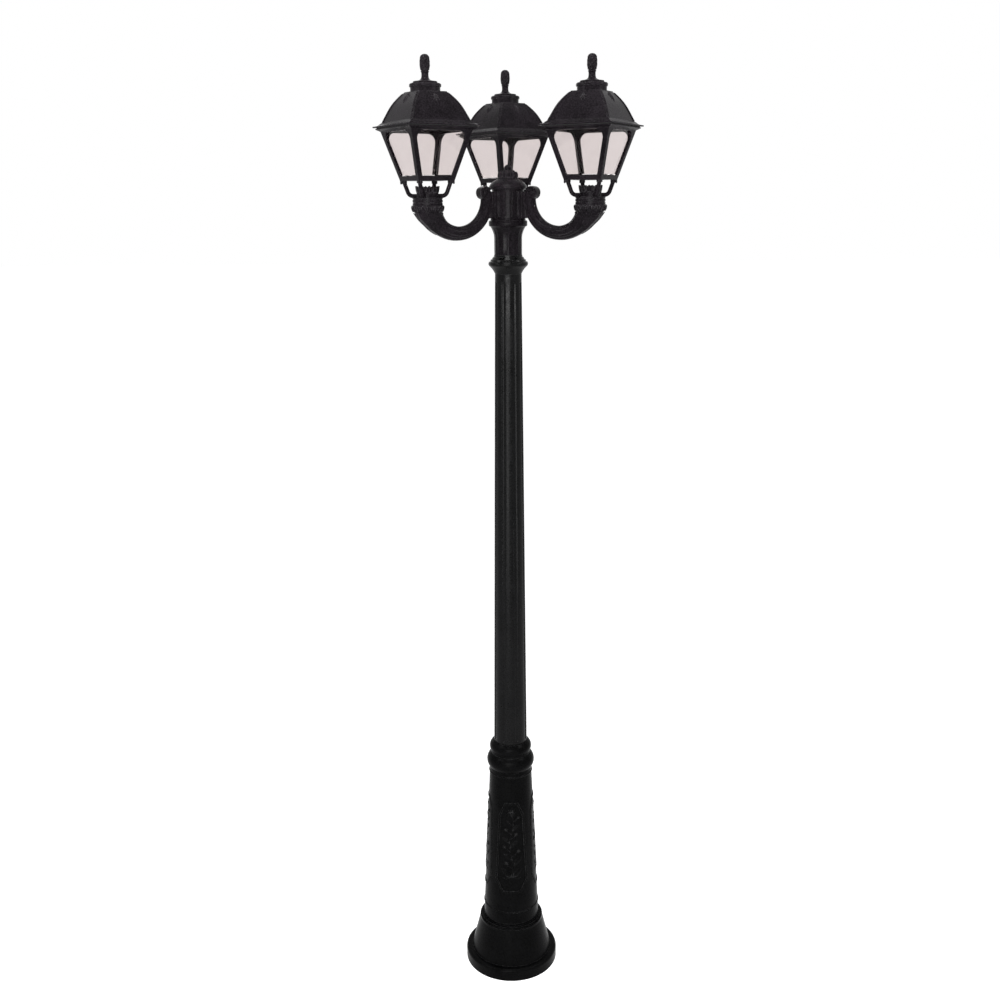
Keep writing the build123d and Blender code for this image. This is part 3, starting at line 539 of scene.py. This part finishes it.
def grained(name, scale, detail, first, second, rough, depth):
    """Finish whose colour, roughness and bump follow one grain. Returns its tree and shader as well."""
    finish, tree, shader = new_finish(name)
    place = node(tree, "TexCoord").outputs["Object"]
    grain = node(tree, "TexNoise", {"Vector": place, "Scale": scale, "Detail": detail}).outputs["Fac"]
    tree.links.new(two_shades(tree, grain, first, second), shader.inputs["Base Color"])
    tree.links.new(spread_over(tree, grain, 0.3, 0.7, *rough), shader.inputs["Roughness"])
    relief(tree, shader, grain, depth)
    return finish, tree, shader


terminal_cream = grained(
    "terminal_cream_plastic", 420.0, 3.0, (0.70, 0.66, 0.53), (0.80, 0.77, 0.66), (0.38, 0.5), 0.00004)[0]
dress(terminal_cream, "terminal_block")

# ---- crown ornament ----
# A bud of overlapping leaves in three tiers with a round knob on top, moulded in one piece and pulled down on
# the cap by the stud.
crown_low, crown_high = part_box("crown")
crown_radius = crown_high.x
crown_knob_radius = 0.0095


def dome_outline(low, spans):
    """Closed outline of a solid dome: (radius, rise) pairs above a height, closed on the axis."""
    hub = 0.0003
    return [(hub, low)] + [(radius, low + rise) for radius, rise in spans] + [(hub, low + spans[-1][1])]


def standing_leaves(count, first, foot_radius, lean, foot_height, blade):
    """Ring of leaves that stand round the axis, each leaning out by an angle in degrees."""
    shapes = []
    tilt = radians(lean)
    for step in range(count):
        turn = radians(first + 360 / count * step)

        def stand(x, y, z):
            out = foot_radius + y * sin(tilt) + z * cos(tilt)
            rise = foot_height + y * cos(tilt) - z * sin(tilt)
            wrap = turn + x / max(out, 0.004)
            return (out * cos(wrap), out * sin(wrap), rise)
        shapes.append(placed(blade, stand))
    return shapes


crown_core = dome_outline(crown_low.z, [
    (crown_radius - 0.001, 0), (crown_radius, 0.0008), (crown_radius, 0.0022), (crown_radius - 0.001, 0.003),
    (crown_radius - 0.0048, 0.0034), (0.0205, 0.008), (0.0185, 0.013), (0.0145, 0.0165), (0.0092, 0.0192),
    (0.0072, 0.0205)])
knob_centre = crown_high.z - crown_knob_radius
crown_knob = [(0.0003, knob_centre - crown_knob_radius)]
crown_knob += [(max(0.0003, crown_knob_radius * sin(pi * step / 16)),
                knob_centre - crown_knob_radius * cos(pi * step / 16)) for step in range(1, 17)]
crown_shapes = [turned(crown_core, 72), turned(crown_knob, 48)]
crown_tiers = (
    # leaves, first angle, foot radius, lean, rise, then each leaf's length, width, dome and thickness
    (12, 0, 0.0222, -8, 0.0030, 0.0135, 0.0115, 0.0034, 0.0018),
    (10, 15, 0.0196, -28, 0.0085, 0.0125, 0.0112, 0.0030, 0.0018),
    (8, 0, 0.0146, -52, 0.0140, 0.0100, 0.0098, 0.0024, 0.0016))
for count, first, foot_radius, lean, rise, length, width, dome, thickness in crown_tiers:
    blade = leaf(length, width, dome, thickness, lobes=1, curl=0.0022, rows=10)
    crown_shapes += standing_leaves(count, first, foot_radius, lean, crown_low.z + rise, blade)
crown = piece("crown_bud", gathered(crown_shapes), lantern_black, "post")
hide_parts("crown")

# ---- arms ----
# Each arm is one hollow U of black resin that bolts to the drum. It starts in a volute at the hub, has a bead
# along each flank, and ends in acanthus leaves whose tips fold over under the lantern.
swivels = {joint["name"].rsplit("_", 1)[1]: Vector(joint["pos_m"])
           for joint in frame["joints"] if joint["name"].startswith("lantern_swivel")}
arm_reach = hypot(swivels["rear"].x, swivels["rear"].y)
drum_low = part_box("hub_drum")[0].z
mouth_rise = 0.019
mouth_height = drum_low + mouth_rise
socket_low = swivels["rear"].z
hub_offset = 0.0615
bend_rise = 0.048
bend_height = drum_low + bend_rise
bend_radius = (arm_reach - hub_offset) / 2
last_turn = 142
arm_radii = ((0, 0.0155), (45, 0.0160), (90, 0.0172), (120, 0.0200), (last_turn, 0.0255))
block_height = 0.065
block_half_width = 0.013
mouth_radius = 0.0335
arm_sides = 96
bead_at = 62
stainless = metal("stainless_steel", (0.46, 0.46, 0.45), (0.68, 0.68, 0.67), 0.0012, (1, 1, 12), (0.22, 0.36))
dress(stainless, "arm_bolts")


def arm_radius(turn):
    """Radius of the arm at an angle round the U."""
    for (low, low_radius), (high, high_radius) in zip(arm_radii, arm_radii[1:]):
        if turn <= high:
            share = (turn - low) / (high - low)
            return low_radius + (high_radius - low_radius) * share
    return arm_radii[-1][1]


def arm_line(way):
    """Centre, direction and radius of the arm at a way along it, from 0 at the hub to 1 at the mouth."""
    bend_share = 0.80
    if way <= bend_share:
        turn = last_turn * way / bend_share
        angle = radians(turn)
        middle = Vector((hub_offset + bend_radius - bend_radius * cos(angle), 0,
                         bend_height - bend_radius * sin(angle)))
        return middle, Vector((sin(angle), 0, -cos(angle))), arm_radius(turn)
    share = (way - bend_share) / (1 - bend_share)
    start, start_heading, start_radius = arm_line(bend_share)
    stop = Vector((arm_reach, 0, mouth_height))
    pull = 0.030
    first, last = start + start_heading * pull * 0.33, stop - Vector((0, 0, pull * 0.33))
    rest = 1 - share
    middle = rest ** 3 * start + 3 * rest ** 2 * share * first
    middle = middle + 3 * rest * share ** 2 * last + share ** 3 * stop
    heading = (start_heading * rest + Vector((0, 0, 1)) * share).normalized()
    return middle, heading, start_radius + (mouth_radius - start_radius) * share ** 1.3


def on_arm(way, round_angle, out):
    """Point over the arm's plain surface. The angle runs round it from the outside of the U."""
    middle, heading, radius = arm_line(way)
    outside = Vector((heading.z, 0, -heading.x))
    flank = Vector((0, 1, 0))
    reach = radius + out
    return middle + reach * (cos(round_angle) * outside + sin(round_angle) * flank)


def hump(value, centre, width):
    return exp(-((value - centre) / width) ** 2)


def flank_moulding(way, round_angle):
    """Height of the bead and its two grooves along the arm's flanks."""
    degrees = abs((round_angle * 180 / pi + 180) % 360 - 180)
    fade = min(1, way / 0.06) * min(1, max(0, (0.94 - way) / 0.14))
    bead = 0.0016 * hump(degrees, bead_at, 8) - 0.0012 * hump(degrees, bead_at - 17, 6)
    bead -= 0.0012 * hump(degrees, bead_at + 17, 6)
    return fade * (bead + 0.0008 * hump(degrees, 118, 12) - 0.0008 * hump(degrees, 140, 8))


def arm_body():
    rings = []
    for rise, radius in ((0.018, 0.0105), (0.014, 0.0138), (0.008, 0.0150)):
        rings.append([(hub_offset - radius * cos(2 * pi * k / arm_sides), radius * sin(2 * pi * k / arm_sides),
                       bend_height + rise) for k in range(arm_sides)])
    for step in range(61):
        way = step / 60
        rings.append([tuple(on_arm(way, 2 * pi * k / arm_sides, flank_moulding(way, 2 * pi * k / arm_sides)))
                      for k in range(arm_sides)])
    rings.append([(arm_reach + (x - arm_reach) * 0.9, y * 0.9, socket_low - 0.002) for x, y, z in rings[-1]])
    return skinned(rings)


def rounded_ring(centre, first, second, half_first, half_second, sides=28, power=0.35):
    """Ring of points with rounded corners, in the plane of two directions."""
    ring = []
    for k in range(sides):
        angle = 2 * pi * k / sides
        a, b = cos(angle), sin(angle)
        a = half_first * abs(a) ** power * (1 if a > 0 else -1)
        b = half_second * abs(b) ** power * (1 if b > 0 else -1)
        ring.append(tuple(centre + a * first + b * second))
    return ring


volute_middle = Vector((hub_offset + 0.0095, 0, bend_height + 0.0135))
volute_radius = 0.018
volute_width = 0.030
band_foot = 0.0052
band_tip = 0.0034
volute_turns = 1.55


def volute():
    """Spiral band that rolls outwards over the arm's hub end, with a round eye."""
    rings = []
    steps = 64
    for step in range(steps + 1):
        share = step / steps
        angle = radians(150) - 2 * pi * volute_turns * share
        thick = band_foot + (band_tip - band_foot) * share
        radius = volute_radius - band_foot / 2 - (volute_radius - 0.0070) * share ** 0.85
        outward = Vector((cos(angle), 0, sin(angle)))
        wide = volute_width / 2 * (1 - 0.06 * share)
        rings.append(rounded_ring(
            volute_middle + radius * outward, outward, Vector((0, 1, 0)), thick / 2, wide, power=0.55))
    eye_rings = []
    for across, radius in ((-0.0168, 0.0014), (-0.0160, 0.0034), (-0.0140, 0.0046), (0.0140, 0.0046),
                           (0.0160, 0.0034), (0.0168, 0.0014)):
        eye_rings.append([tuple(volute_middle + Vector((radius * cos(2 * pi * k / 24), across,
                                                        radius * sin(2 * pi * k / 24)))) for k in range(24)])
    core = []
    for across, radius in ((-0.0105, 0.0150), (0.0105, 0.0150)):
        core.append([tuple(volute_middle + Vector((radius * cos(2 * pi * k / 40), across,
                                                   radius * sin(2 * pi * k / 40)))) for k in range(40)])
    return gathered([skinned(rings), skinned(eye_rings), skinned(core)])


def mount_block():
    """Block between the drum's pad and the arm, with rounded edges."""
    middle = Vector((0, 0, drum_low + block_height / 2))
    rings = []
    for out, shrink in ((0.0455, 0.0), (0.0515, 0.0), (0.0555, 0.0006), (0.0595, 0.0030), (0.0615, 0.0075)):
        rings.append(rounded_ring(middle + Vector((out, 0, 0)), Vector((0, 1, 0)), Vector((0, 0, 1)),
                                  block_half_width - shrink, block_height / 2 - shrink, sides=48, power=0.22))
    return skinned(rings)


def arm_acanthus():
    """Long leaves that wrap the arm's lantern end, their tips folded out."""
    shapes = []
    for turn in range(8):
        middle = radians(22.5 + 45 * turn)
        start = 0.70 if abs(cos(middle)) > 0.5 and cos(middle) > 0 else 0.80
        blade = leaf(1.0, 0.0265, 0.0032, 0.0016, lobes=4, rows=28)

        def wrap(x, y, z):
            way = start + (0.985 - start) * y
            flare = 0.0030 * max(0, (y - 0.78) / 0.22) ** 2
            radius = arm_line(way)[2]
            return on_arm(way, middle + x * (0.55 + 0.75 * y) / radius, z * (0.5 + 0.5 * y) + flare)
        shapes.append(placed(blade, wrap))
    return gathered(shapes)


collar_tips = 16
collar_ring = [(0.0205, -0.006), (0.0360, -0.006), (0.0383, -0.0045), (0.0393, -0.0030), (0.0397, -0.0012),
               (0.0388, -0.0003), (0.0374, 0.0), (0.0205, 0.0)]


def leaf_collar():
    """Ring under the lantern's socket with a rim of folded leaf tips."""
    shapes = [turned([(radius, socket_low + rise) for radius, rise in collar_ring], 96)]
    blade = leaf(0.0135, 0.0156, 0.0024, 0.0020, lobes=1, curl=0.0012, rows=10)
    shapes += standing_leaves(collar_tips, 0, 0.0345, 20, mouth_height - 0.001, blade)
    blade = leaf(0.0100, 0.0115, 0.0018, 0.0018, curl=0.0008, rows=8)
    shapes += standing_leaves(collar_tips, 180 / collar_tips, 0.0360, 12, mouth_height + 0.003, blade)
    return [placed(shape, lambda x, y, z: (x + arm_reach, y, z)) for shape in shapes]


spigot_outline = [(0.0120, mouth_height + 0.002), (0.0200, mouth_height + 0.002), (0.0200, socket_low + 0.024),
                  (0.0190, socket_low + 0.025), (0.0120, socket_low + 0.025)]
spigot = placed(turned(spigot_outline, 64), lambda x, y, z: (x + arm_reach, y, z))
arm_shapes = {"moulding": gathered([arm_body(), mount_block(), spigot]), "volute": volute(),
              "acanthus": arm_acanthus(), "leaf_collar": gathered(leaf_collar())}
for side, swivel in swivels.items():
    heading = Matrix.Rotation(atan2(swivel.y, swivel.x), 4, "Z")
    for part, shape in arm_shapes.items():
        made = piece(f"arm_{part}_{side}", placed(shape, lambda x, y, z: heading @ Vector((x, y, z))),
                     lantern_black, "post")
        if part == "moulding":
            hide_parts(f"arm_{side}")


# ---- lantern holders and leaf cups ----
# A ringed socket turns on the arm's spigot and carries the cage on four bent prongs, with blackened grub screws
# in its side. Inside the prongs stands a cup of leaves. Both are black resin, the other screws stainless steel.
lantern_turns = {"rear": 34.0, "left": 0.0, "right": 0.0}


def for_each_lantern(name, shape, finish, body, stands_for=None, sharp=50):
    """The same piece on each lantern, drawn about the lantern's own axis with its outer face towards +X."""
    for side, swivel in swivels.items():
        heading = atan2(swivel.y, swivel.x) + radians(lantern_turns[side])
        place = Matrix.Translation((swivel.x, swivel.y, 0)) @ Matrix.Rotation(heading, 4, "Z")
        made = piece(f"{name}_{side}", placed(shape, lambda x, y, z: place @ Vector((x, y, z))),
                     finish, f"{body}_{side}", sharp)
        if stands_for:
            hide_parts(f"{stands_for}_{side}")


def dress_lanterns(finish, *names):
    dress(finish, *(f"{name}_{side}" for name in names for side in swivels))


cup_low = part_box("calyx_cup_rear")[0].z
cup_wall = [(0.0060, 0), (0.0260, 0), (0.0268, 0.0015), (0.0256, 0.0025), (0.0254, 0.0080), (0.0264, 0.0135),
            (0.0248, 0.0135), (0.0226, 0.0080), (0.0216, 0.0030), (0.0060, 0.0030)]
cup_leaf = leaf(0.0172, 0.0174, 0.0022, 0.0016, lobes=1, curl=0.0022, rows=10)
cup_bud = leaf(0.0130, 0.0100, 0.0016, 0.0014, curl=0.0012, rows=8)
cup_shapes = [turned([(radius, cup_low + rise) for radius, rise in cup_wall], 72)]
cup_shapes += standing_leaves(10, 0, 0.0246, 9, cup_low + 0.0012, cup_leaf)
cup_shapes += standing_leaves(10, 18, 0.0242, 11, cup_low + 0.0050, cup_bud)
for_each_lantern("leaf_cup", gathered(cup_shapes), lantern_black, "lantern", stands_for="calyx_cup")
dress_lanterns(lantern_black, "holder")
dress_lanterns(stainless, "corner_screws", "tray_screws")
blackened = metal("blackened_steel", (0.014, 0.014, 0.015), (0.034, 0.034, 0.035), 0.0012, rough=(0.45, 0.6))
dress_lanterns(blackened, "grub_screws")

# ---- cages and clear inner bodies ----
# The open four-sided cage is one moulding with arched window heads. A clear acrylic body with a faint warm grey
# tint hangs inside it by its flange, and a rubber gasket lies on the cage's rim.
dress_lanterns(lantern_black, "cage")

tinted_clear, clear_tree, clear_shader = grained(
    "tinted_clear_acrylic", 60.0, 3.0, (0.80, 0.755, 0.750), (0.86, 0.815, 0.810), (0.02, 0.07), 0.0001)
clear_shader.inputs["Transmission Weight"].default_value = 1.0
clear_shader.inputs["IOR"].default_value = 1.15
clear_output = clear_tree.nodes["Material Output"]
clear_pass = node(clear_tree, "BsdfTransparent", {"Color": (0.84, 0.80, 0.80, 1)})
clear_shadow = node(clear_tree, "LightPath").outputs["Is Shadow Ray"]
clear_ways = {0: clear_shadow, 1: clear_shader.outputs[0], 2: clear_pass.outputs[0]}
clear_mix = node(clear_tree, "MixShader", clear_ways)
clear_tree.links.new(clear_mix.outputs[0], clear_output.inputs["Surface"])
dress_lanterns(tinted_clear, "panes")

rubber = grained(
    "gasket_black_rubber", 700.0, 2.0, (0.012, 0.012, 0.012), (0.030, 0.030, 0.030), (0.7, 0.9), 0.0001)[0]
dress_lanterns(rubber, "gasket")

# ---- roofs ----
# The four-sided ogee roof is moulded in one piece with its brim. Twin pearled beads run down its hips, and a
# small sprig of leaves hangs from its top plate on each face.
roof_low, roof_top = (corner.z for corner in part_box("roof_rear"))
hip_start = 0.0125
hip_stop = 0.0030
hip_sink = 0.0011
sprig_start = 0.004
hip_bead = 0.0015
hip_gap = 0.0024
pearl_pitch = 0.0042
roof_axis = swivels["left"]
roof_facing = Vector((roof_axis.x, roof_axis.y, 0)).normalized()
left_roof = solids["roof_left"].data
roof_skin = BVHTree.FromPolygons([vertex.co for vertex in left_roof.vertices],
                                 [tuple(face.vertices) for face in left_roof.polygons])


def roof_half(height, across=0.004):
    """Half side of the roof at a height, felt for on the left lantern's outer face."""
    start = Vector((roof_axis.x, roof_axis.y, height)) + 0.2 * roof_facing
    start += across * roof_facing.cross(Vector((0, 0, 1)))
    touch = roof_skin.ray_cast(start, -roof_facing)[0]
    return (touch - roof_axis).dot(roof_facing)


def hip_beads():
    shapes = []
    low, high = roof_low + hip_start, roof_top - hip_stop
    steps = 120
    line = [(roof_half(low + (high - low) * step / steps), low + (high - low) * step / steps)
            for step in range(steps + 1)]
    for corner in range(4):
        turn = Matrix.Rotation(radians(90 * corner), 4, "Z")
        for side in (-1, 1):
            gone = 0.0
            rings = []
            for step, (half, height) in enumerate(line):
                before, after = line[max(step - 1, 0)], line[min(step + 1, steps)]
                along = Vector((after[0] - before[0], after[0] - before[0], after[1] - before[1]))
                gone += along.length / 2
                along.normalize()
                out = Vector((1, 1, 0)).normalized()
                across = along.cross(out).normalized()
                lift = across.cross(along)
                if lift.dot(out) < 0:
                    lift = -lift
                radius = hip_bead * (0.80 + 0.20 * abs(cos(pi * gone / pearl_pitch)))
                centre = Vector((half, half, height)) - side * hip_gap * across - hip_sink * lift
                spokes = [cos(2 * pi * k / 10) * across + sin(2 * pi * k / 10) * lift for k in range(10)]
                rings.append([tuple(turn @ (centre + radius * spoke)) for spoke in spokes])
            shapes.append(skinned(rings))
    return gathered(shapes)


def on_roof(x, y, z):
    """Wraps a flat drawing on the face towards +X. Y = 0 is the top plate's edge, and -Y goes down the face."""
    height = roof_top - sprig_start + y
    half, step = roof_half(height), 0.0005
    slope = (roof_half(height - step) - half) / step
    normal = Vector((1, 0, slope)).normalized()
    return Vector((half, x, height)) + z * normal


def roof_sprigs():
    drawing = []
    for heading, length, width in ((180, 0.0190, 0.0072), (152, 0.0165, 0.0060), (208, 0.0165, 0.0060),
                                   (122, 0.0120, 0.0052), (238, 0.0120, 0.0052)):
        blade = leaf(length, width, 0.0012, 0.0012, lobes=2, curl=0.0006, rows=12)
        drawing.append(placed(blade, on_sprig(0.0, -0.0035, heading)))
    drawing += flower(0.0, -0.0045, petal=0.0034, petals=5)
    face = placed(gathered(drawing), on_roof)
    turns = [Matrix.Rotation(radians(90 * side), 4, "Z") for side in range(4)]
    return gathered([placed(face, lambda x, y, z, turn=turn: turn @ Vector((x, y, z))) for turn in turns])


for_each_lantern("roof_hip_beads", hip_beads(), lantern_black, "lid")
for_each_lantern("roof_sprigs", roof_sprigs(), lantern_black, "lid")
dress_lanterns(lantern_black, "roof", "chimney")

# ---- finials ----
# A disc and a turned stalk that screws through the chimney into the roof, with a knob in the shape of a pine
# cone. All one moulding of black resin.
finial_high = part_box("finial_rear")[1].z
finial_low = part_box("chimney_rear")[1].z
cone_radius = 0.0122
cone_height = 0.0365
cone_low = finial_high - cone_height
scale_rows = 8
scale_pitch = 0.0052
scale_groove = 0.0018
stalk_radius = 0.0084
disc_radius = 0.029


def cone_profile(share):
    """Radius of the pine cone at a share of its height."""
    if share < 0.38:
        return cone_radius * (0.84 + 0.16 * sin(pi / 2 * share / 0.38))
    if share < 0.72:
        return cone_radius * (1 - 0.06 * ((share - 0.38) / 0.34) ** 2)
    return cone_radius * 0.94 * (1 - ((share - 0.72) / 0.285) ** 2) ** 0.5


def scales(radius, height, angle):
    """Depth of the grooves between the pine cone's scales."""
    if height < cone_low + 0.0015 or radius < 0.002:
        return 0
    row = (height - cone_low) / scale_pitch
    column = scale_rows * angle / (2 * pi)
    first, second = sin(pi * (column + row / 2)), sin(pi * (column - row / 2))
    fade = min(1, radius / 0.007)
    return scale_groove * fade * max(hump(first, 0, 0.34), hump(second, 0, 0.34))


finial_outline = [(0.0003, finial_low), (disc_radius - 0.0006, finial_low), (disc_radius, finial_low + 0.0006),
                  (disc_radius, finial_low + 0.0038), (disc_radius - 0.0007, finial_low + 0.0045),
                  (0.0240, finial_low + 0.0047), (0.0190, finial_low + 0.0058), (0.0135, finial_low + 0.0080),
                  (0.0098, finial_low + 0.0108), (stalk_radius + 0.0004, finial_low + 0.0140),
                  (stalk_radius, finial_low + 0.0180), (stalk_radius, cone_low - 0.0045),
                  (stalk_radius + 0.0012, cone_low - 0.0038), (stalk_radius + 0.0016, cone_low - 0.0028),
                  (stalk_radius + 0.0012, cone_low - 0.0018), (stalk_radius + 0.0002, cone_low - 0.0010),
                  (stalk_radius + 0.0002, cone_low)]
finial_outline += [(cone_profile(step / 44), cone_low + cone_height * step / 44) for step in range(1, 44)]
finial_outline += [(0.0012, finial_high - 0.00005), (0.0003, finial_high)]
for_each_lantern("finial_cone", turned(finial_outline, 128, scales), lantern_black, "lid", stands_for="finial",
                 sharp=60)


# ---- lamp gear ----
# A white enamelled tray is screwed up into the roof, with a white lampholder and a flat opal lamp that twists
# in. They show from below and when the roof is off.
def plain_plastic(name, shade, rough, pore, pit=0.00004, coat=0.0):
    """Pale plastic or enamel with faint clouds and a fine grain."""
    finish, tree, shader = new_finish(name)
    place = node(tree, "TexCoord").outputs["Object"]
    grain = node(tree, "TexNoise", {"Vector": place, "Scale": 1 / pore, "Detail": 3.0}).outputs["Fac"]
    cloud = node(tree, "TexNoise", {"Vector": place, "Scale": 30.0, "Detail": 4.0}).outputs["Fac"]
    darker = [0.93 * part for part in shade]
    tree.links.new(two_shades(tree, cloud, darker, shade), shader.inputs["Base Color"])
    tree.links.new(spread_over(tree, grain, 0.3, 0.7, rough - 0.05, rough + 0.07), shader.inputs["Roughness"])
    shader.inputs["Coat Weight"].default_value = coat
    relief(tree, shader, grain, pit)
    return finish


dress_lanterns(plain_plastic("white_enamel", (0.80, 0.80, 0.78), 0.28, 0.004, 0.00006, 0.4), "gear_tray")
dress_lanterns(plain_plastic("white_plastic", (0.76, 0.76, 0.74), 0.42, 0.0015), "lampholder")
dress_lanterns(plain_plastic("lamp_diffuser", (0.84, 0.84, 0.81), 0.20, 0.003, 0.00002, 0.2), "disc_lamp")
